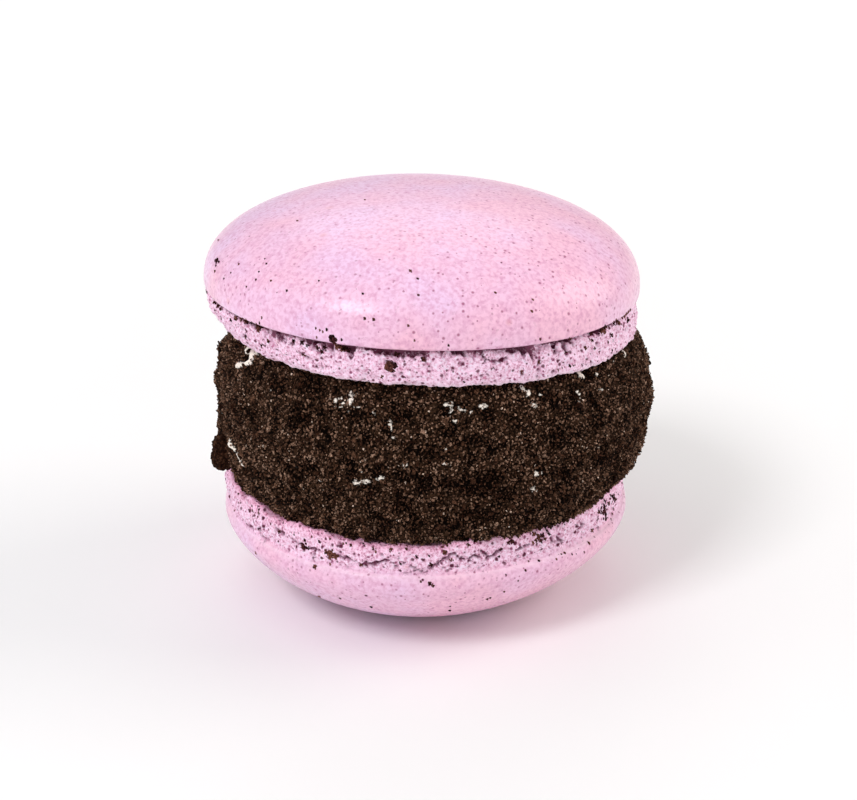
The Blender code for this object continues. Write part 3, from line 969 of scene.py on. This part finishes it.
def crushedBits(name, variants, corners, seed):
    bits = bpy.data.collections.new(name)
    draw = random.Random(seed)
    for i in range(variants):
        mesh = bmesh.new()
        turn = draw.uniform(0, math.tau)
        for k in range(corners):
            height = 1 - 2 * (k + 0.5) / corners
            angle = turn + k * math.pi * (3 - math.sqrt(5))
            level = math.sqrt(1 - height * height)
            way = Vector((level * math.cos(angle), level * math.sin(angle), height))
            way += Vector([draw.uniform(-1, 1) for _ in way]) * 1.3 / math.sqrt(corners)
            mesh.verts.new(way.normalized() * draw.uniform(0.36, 0.6))
        hull = bmesh.ops.convex_hull(mesh, input=mesh.verts)
        inside = {item for item in hull["geom_interior"] + hull["geom_unused"] if isinstance(item, bmesh.types.BMVert)}
        bmesh.ops.delete(mesh, geom=list(inside), context="VERTS")
        bmesh.ops.recalc_face_normals(mesh, faces=mesh.faces)
        mesh.transform(Matrix.Diagonal((1.1, draw.uniform(0.65, 1), draw.uniform(0.5, 0.85), 1)))
        data = bpy.data.meshes.new(name)
        mesh.to_mesh(data)
        mesh.free()
        bits.objects.link(bpy.data.objects.new(f"{name}{i}", data))
    return bits


# what every scatter of crumbs shares
scatterRules = {
    "manySmall": 1.7,  # the higher, the more of the sizes are near the smallest
    # the darkest patches are painted shade for hollows in the crumb coat
    "darkest": 0.2,  # share of the tint left in the darkest patches
    "tintSeed": 77,
    "turnSeed": 5,
}


# Density is per square mm, sizes in mm. Where names the attribute that thins the scatter out; Lightest limits the tint.
def scatterTree():
    numbers = ("Density", "Spacing", "Smallest", "Largest", "Lift", "Lightest")
    others = {"Bits": "Collection", "Places": "Object", "Where": "String", "Seed": "Int"}
    add, given, result = newTree("crumbScatter", numbers, **others)
    where = add("GeometryNodeInputNamedAttribute", [given["Where"]])
    apart = add("Math", (given["Spacing"], mm), operation="MULTIPLY")
    dense = add("Math", (given["Density"], 1e6), operation="MULTIPLY")
    spread = add("GeometryNodeDistributePointsOnFaces", {
        "Mesh": given["Geometry"], "Distance Min": apart, "Density Max": dense, "Density Factor": where,
        "Seed": given["Seed"],
    }, distribute_method="POISSON")
    chance = add("FunctionNodeRandomValue", {2: 0, 3: 1, "Seed": given["Seed"]}).outputs[1]
    size = add("Math", (chance, scatterRules["manySmall"]), operation="POWER")
    size = add("MapRange", (size, 0, 1, given["Smallest"], given["Largest"]))
    size = add("Math", (size, mm), operation="MULTIPLY")
    sized = add("GeometryNodeStoreNamedAttribute", {"Geometry": spread, "Name": "size", "Value": size})
    sizeThere = add("GeometryNodeInputNamedAttribute", ["size"])
    lift = add("Math", (sizeThere, given["Lift"]), operation="MULTIPLY")
    out = add("VectorMath", {0: spread.outputs["Normal"], "Scale": lift}, operation="SCALE")
    # the scattered crumbs join those at given places
    places = add("GeometryNodeObjectInfo", [given["Places"]]).outputs["Geometry"]
    joined = add("GeometryNodeJoinGeometry", [add("GeometryNodeSetPosition", {"Geometry": sized, "Offset": out})])
    feed(joined, [add("GeometryNodeMeshToPoints", [places])])
    # paler and darker patches, as in the bed below: painted shade for hollows in the crumb coat
    shadePatches = add("TexNoise", {
        "Vector": add("GeometryNodeInputPosition"), "Scale": 1 / (bedLook["patchMm"] * mm), "Detail": 1,
    })
    shadePatches = add("MapRange", (shadePatches, *bedLook["shadePatches"], scatterRules["darkest"], 1))
    tint = add("FunctionNodeRandomValue", {2: 0, 3: given["Lightest"], "Seed": scatterRules["tintSeed"]}).outputs[1]
    tint = add("Math", (tint, shadePatches), operation="MULTIPLY")
    tinted = add("GeometryNodeStoreNamedAttribute", {"Geometry": joined, "Name": "tint", "Value": tint})
    bits = add("GeometryNodeCollectionInfo", (given["Bits"], True, True))
    turns = {0: (0, 0, 0), 1: (math.tau,) * 3, "Seed": scatterRules["turnSeed"]}
    turn = add("FunctionNodeRandomValue", turns, data_type="FLOAT_VECTOR")
    placed = add("GeometryNodeInstanceOnPoints", {
        "Points": tinted, "Instance": bits, "Pick Instance": True, "Rotation": turn, "Scale": sizeThere,
    })
    return closeTree(add, given, result, placed)


# Crushed cocoa cookie: dark baked dough with a dry, matt, slightly sandy break. The eye gets browns from nearly black
# to earthy that differ from crumb to crumb, and a few bits pale with sugar, which also stand in for painted glints.
cookieLook = {
    "shades": (
        (0, "#180702"), (1, "#d0bbab"), (0.15, "#3e281c"), (0.4, "#594133"), (0.7, "#6c5243"), (0.92, "#7e6454"),
        (0.96, "#957b6a"),
    ),
    "grainMm": 0.17,  # flour and sugar are finer, and drawn this coarse to show
}
# the same crumbs baked into the shells, stained by the pink skin over them
bakedInLook = {"shades": ((0, "#1c0408"), (1, "#6b4437"), (0.5, "#3e2020")), "grainMm": 0.2}
# what both share; the speckle turns a span of noise into a span of brightness, its brightest flecks partly painted
# glints
brokenCookie = {"speckle": (0.31, 0.69, 0.05, 2.4), "roughness": 0.85, "shine": 0.06, "bumpMm": 0.08, "bump": 0.6}


def cocoaCookie(name, look):
    material, add, shader = newMaterial(name)
    place = add("TexCoord").outputs["Object"]
    tint = add("Attribute", attribute_name="tint").outputs["Fac"]
    shades = add("ValToRGB", [tint], stops=look["shades"])
    grain = add("TexNoise", {"Vector": place, "Scale": 1000 / look["grainMm"], "Detail": 1})
    speckle = add("MapRange", (grain, *brokenCookie["speckle"]))
    colour = add("Mix", {0: 1, 6: shades, 7: speckle}, data_type="RGBA", blend_type="MULTIPLY").outputs[2]
    depth = brokenCookie["bumpMm"] * mm
    bump = add("Bump", {"Strength": brokenCookie["bump"], "Distance": depth, "Height": grain})
    feed(shader, {"Base Color": colour, "Roughness": brokenCookie["roughness"], "Normal": bump})
    feed(shader, {"Specular IOR Level": brokenCookie["shine"]})
    return material


cookie = cocoaCookie("crushedCocoaCookie", cookieLook)
bakedIn = cocoaCookie("cocoaCookieBakedIn", bakedInLook)
dustBits = crushedBits("dustBit", 6, 6, 20)
fineBits = crushedBits("fineBit", 8, 8, 21)
flakeBits = crushedBits("flakeBit", 10, 14, 25)
middleBits = crushedBits("middleBit", 8, 16, 22)
scattering = scatterTree()
crumbKinds = {
    "dustCrumbs": {
        "Bits": dustBits, "Density": 16.0, "Spacing": 0.27, "Smallest": 0.24, "Largest": 0.44, "Lift": 0.3,
        "Lightest": 1.0, "Seed": 4,
    },
    "fineCrumbs": {
        "Bits": fineBits, "Density": 4.0, "Spacing": 0.42, "Smallest": 0.36, "Largest": 0.7, "Lift": 0.15,
        "Lightest": 0.93, "Seed": 1,
    },
    "middleCrumbs": {
        "Bits": middleBits, "Density": 0.15, "Spacing": 1.2, "Smallest": 0.65, "Largest": 1.0, "Lift": 0.0,
        "Lightest": 0.4, "Seed": 2,
    },
}


# a piece that starts as a copy of the surface it is scattered on
def crumbPiece(name, surface, kind, where, material, places=None):
    piece = newObject(name, surface.data.copy())
    values = {**kind, "Where": where, "Material": material}
    if places:
        values["Places"] = places
    runTree(piece, scattering, values)
    return piece


# crumbs at pixels of the photograph, given as x, y and size in pixels, and crumbs spilled from the filling, in mm;
# a larger spot is a little heap of bits
def placesObject(name, surface, spots, spilled):
    points, sizes = [], []
    draw = random.Random(6)
    for x, y, size in spots:
        count = 1 if size <= 3.8 else 5 if size < 9 else 9
        turn = draw.uniform(0, math.tau)
        for part in range(count):
            # the first bit in the middle, the others round it
            aside = draw.uniform(0.25, 0.4) * size * min(part, 1)
            turn += math.tau / max(1, count - 1)
            place, normal = photoSpot(surface, x + aside * math.cos(turn), y + aside * math.sin(turn))
            if place is None:
                continue
            grow = draw.uniform(0.45, 0.75) if part else 1.2 if count > 1 else 1.45
            wide = size / photoView["pixelsPerMm"] * mm * grow
            points.append(place - normal * 0.12 * wide)
            sizes.append(wide)
    for i in range(spilled["count"]):
        start = fillingPoint(draw.uniform(0, math.tau), 0, -spilled["reach"] * draw.uniform(-0.1, 1) ** 3)
        place, _, _, _ = surface.ray_cast((start + Vector((0, 0, 2))) * mm, Vector((0, 0, -1)))
        if place:
            points.append(place)
            sizes.append((spilled["smallest"] + draw.random() ** 2 * (spilled["largest"] - spilled["smallest"])) * mm)
    return newPiece(name, points, [], {"size": sizes})


coat = [crumbPiece(name, fillingBed, kind, "crumbShare", cookie) for name, kind in crumbKinds.items()]

upperSpots = (
    (217, 261.5, 7), (218.5, 240.5, 3), (215, 271.6, 3.5), (239, 264.5, 3), (265, 259, 2.2), (266.5, 264, 2.8),
    (259, 272, 2.5), (231, 273, 2.2), (224, 279, 2.6), (256, 280, 3), (271, 281, 3), (246.5, 287, 2.5),
    (287, 291, 3.2), (319, 281, 2.5), (297.6, 221, 3), (365, 200, 2.5), (410.5, 271, 4), (418, 279, 3.2),
    (363, 294, 3), (418.7, 295.5, 3.2), (495.6, 293, 3.2), (216, 266, 3), (533, 300, 3), (532, 311.7, 3.6),
    (365, 319, 3.6), (374, 320, 3.8), (408.5, 326, 3), (414.7, 340.7, 2.6), (448.7, 345.5, 3), (333.8, 340, 8),
    (331, 338, 6), (262, 318, 3), (341.8, 340, 3), (316.8, 337.5, 2.4), (327, 330, 3.4), (316, 328.5, 2.6),
    (320, 330.5, 2.6), (323, 332, 2.6), (215, 303, 4), (218, 306, 4.5), (221, 309, 4.5), (215, 310, 2.5),
    (221.6, 319, 2.6), (230.8, 320, 3), (242, 320, 6), (247, 322, 6), (236, 318, 5), (252, 323.5, 5), (260, 328, 8),
    (258, 325, 6), (246, 337, 4.5), (268.5, 341.3, 3.8), (261.5, 345.5, 3), (265.7, 345.5, 2.2), (293.5, 341.3, 4),
    (302, 343, 5), (307, 346, 4), (303.5, 354.5, 5.5), (318, 348, 5), (325, 349, 6), (322, 352, 4), (338, 347, 7),
    (343, 349, 8), (348, 350, 6), (397, 355, 6), (391, 367, 11), (388, 368, 6), (395, 366, 6), (423, 360, 6),
    (382, 377, 4), (464, 382, 3.5), (539, 362, 4), (566, 353, 4), (585.5, 348, 4), (594.5, 348.5, 4), (522, 372, 3),
    (591, 334, 5), (591.5, 340, 4.5), (603, 330, 8), (605, 327, 6), (601, 333, 5), (611.5, 335, 5), (608, 342, 3),
    (612, 350, 3), (616, 321, 6), (619, 323, 5), (614, 324, 4), (627.5, 319.5, 5.5), (622, 317.5, 3.7),
    (624, 315.5, 3.7), (626, 313.5, 3.7), (628, 311.5, 3.6), (630, 309.5, 3.4), (540, 339, 3), (570, 338.5, 4.5),
    (565, 339.5, 3.5), (558, 370, 2.6), (562, 368, 2.6), (570, 366, 3), (573, 365.5, 2.6),
)
lowerSpots = (
    (258.3, 507, 3.2), (258.8, 510, 3), (259, 513, 3), (258, 517, 2.6), (253, 511, 3), (249.5, 511.5, 2.6),
    (252, 506, 2.4), (234.5, 511, 2.6), (239, 503, 2.2), (258.6, 529, 3), (279.5, 532, 4.5), (304, 546, 7),
    (307.5, 548, 5), (327, 552, 7), (331, 554, 9), (336, 557, 7), (330, 558, 5), (330.5, 564.6, 3.5), (315, 567, 5.5),
    (256, 553, 3.6), (319, 596, 3.6), (340, 598, 3), (361.5, 565, 5), (371, 606.5, 3.6), (400.5, 563.5, 3.4),
    (404.5, 562, 2.6), (417, 557, 4), (421, 582, 3), (430, 584, 5.5), (433, 586, 4), (445, 552.6, 5),
    (451.5, 560, 4.5), (449.5, 610, 3.6), (450, 606, 2.4), (487, 598.7, 3.4), (490, 597.5, 3), (504, 591.3, 3),
    (506, 575, 2.4), (518, 580.5, 2.4), (510.6, 541, 7), (508, 543, 5), (513, 541.5, 4.5), (528.5, 561.5, 2.8),
    (534, 534, 5), (538, 537, 6.5), (542, 535, 6), (536, 540.5, 5), (541, 541, 5), (547, 531, 4), (549, 534, 4),
    (545, 539, 4), (533, 543, 3.5), (592, 530.5, 5), (584, 552, 2.8), (604.5, 501, 5), (604, 506, 6), (603.5, 510, 8),
    (599, 511.5, 5), (605, 514, 6), (605.5, 518, 6), (608.6, 503.5, 4), (612, 496.5, 7), (614.5, 499, 6),
    (595, 502.7, 3.4), (613, 508, 2.4), (612.5, 514, 2.4), (611, 519, 2.4), (468, 545, 4.5), (501, 549.5, 4),
    (499, 556, 3), (431, 565, 4.5), (429, 556, 3), (376, 552, 3), (391, 549.5, 4), (343.5, 544, 3), (351, 545.5, 4),
    (373, 548, 3), (390, 552, 2.6), (407, 546, 2.6), (294.5, 534.5, 3), (285, 519, 3.2), (305, 540.5, 3.4),
    (312, 537, 2.6), (319, 541.5, 3), (329.8, 539.6, 3),
)
shellCrumbs = {
    "Bits": flakeBits, "Density": 0.2, "Spacing": 0.6, "Smallest": 0.22, "Largest": 0.95, "Lift": -0.2,
    "Lightest": 1.0, "Seed": 8,
}
spilled = {"count": 420, "reach": 1.3, "smallest": 0.14, "largest": 0.6}
for shell, spots, count in ((shellTop, upperSpots, 0), (shellBottom, lowerSpots, spilled["count"])):
    places = placesObject("places", surfaceOf(shell), spots, {**spilled, "count": count})
    coat.append(crumbPiece(shell.name + "Crumbs", shell, shellCrumbs, "behind", bakedIn, places))
    bpy.data.objects.remove(places)


# a chunk of cookie stuck low on the left side of the filling

chunk = {"angle": 199, "height": 19.15, "out": 25.2, "halfSizes": (1.7, 2.0, 1.85), "boxiness": 3.5, "tilt": 0.15}


def makeChunk():
    mesh = bmesh.new()
    bmesh.ops.create_icosphere(mesh, subdivisions=5, radius=1)
    tints = []
    for vert in mesh.verts:
        way = vert.co.copy()
        # towards a block with rounded corners
        square = sum(abs(part) ** chunk["boxiness"] for part in way) ** (-1 / chunk["boxiness"])
        broken = 0.12 * noise.noise(way * 1.3 + Vector((3, 1, 7)))
        broken += 0.14 * noise.noise(way * 3)
        broken += 0.1 * noise.noise(way * 8)
        vert.co = way * square * (1 + broken + 0.05 * noise.noise(way * 18))
        tints.append(max(0, 0.03 + 0.2 * noise.noise(way * 7)))
    angle, out = math.radians(chunk["angle"]), chunk["out"]
    place = (filling["centre"][0] + out * math.cos(angle), out * math.sin(angle), chunk["height"])
    turned = Matrix.Translation(place) @ Matrix.Rotation(chunk["tilt"], 4, "Y")
    mesh.transform(Matrix.Scale(mm, 4) @ turned @ Matrix.Diagonal((*chunk["halfSizes"], 1)))
    for face in mesh.faces:
        face.smooth = True
    piece = newPiece("cookieChunk", [], [])
    mesh.to_mesh(piece.data)
    mesh.free()
    keepValues(piece, "tint", tints)
    piece.data.materials.append(cookie)
    return piece


coat.append(makeChunk())
print("crumbs placed")


# every piece rides on the one body; three stand for their solids

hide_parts("shell_top")
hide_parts("shell_bottom")
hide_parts("filling")
for piece in (shellTop, shellBottom):
    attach(piece, "root")
for piece in (fillingBed, *coat):
    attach(piece, "root")


# studio: soft lights over a floor of matt white paper, a pale even ground without gloss

def makeFloor():
    floor = newPiece("floor", [(-3, -3, 0), (3, -3, 0), (3, 3, 0), (-3, 3, 0)], [(0, 1, 2, 3)])
    material, add, shader = newMaterial("palePaper")
    # it glows faintly further out, so that it meets the sky without a dark band
    place = add("TexCoord").outputs["Object"]
    away = add("VectorMath", [place], operation="LENGTH").outputs["Value"]
    glow = add("MapRange", (away, 0.08, 1.3, 0, 0.63))
    feed(shader, {"Base Color": "#f6f5f5", "Roughness": 0.9, "Emission Color": "#f6f5f5", "Emission Strength": glow})
    floor.data.materials.append(material)


lights = {
    "key": {"from": (-0.40, -0.45, 0.66), "size": 0.25, "power": 3.1, "colour": "#fbfcff"},
    "above": {"from": (-0.2, -0.1, 0.9), "size": 1.0, "power": 1.8, "colour": "#ffffff"},
    "right": {"from": (0.8, 0.1, 0.5), "size": 0.6, "power": 3.45, "colour": "#fffaf4"},
    "back": {"from": (0.0, 0.7, 0.7), "size": 0.6, "power": 1.05, "colour": "#ffffff"},
    "left": {"from": (-0.8, 0.1, 0.45), "size": 0.6, "power": 0.45, "colour": "#ffffff"},
    "front": {"from": (0.1, -0.9, 0.25), "size": 0.8, "power": 0.3, "colour": "#ffffff"},
}
worldLight = 0.43


def addLights():
    for name, light in lights.items():
        data = bpy.data.lights.new(name, "AREA")
        data.size = light["size"]
        data.energy = light["power"]
        data.color = linear(light["colour"])[:3]
        lamp = newObject(name, data)
        lamp.location = light["from"]
        lamp.rotation_euler = (photoView["target"] - lamp.location).to_track_quat("-Z", "Y").to_euler()
    # a dim sky for the light, a pale one to look at
    world = bpy.data.worlds.new("studio")
    add = emptied(world)
    dim = add("Background", ["#ffffff", worldLight])
    pale = add("Background", ["#fcfcfc"])
    seen = add("LightPath").outputs["Is Camera Ray"]
    add("OutputWorld", [add("MixShader", (seen, dim, pale))])
    bpy.context.scene.world = world


makeFloor()
addLights()
bpy.context.scene.view_settings.view_transform = "Standard"
print("studio set")
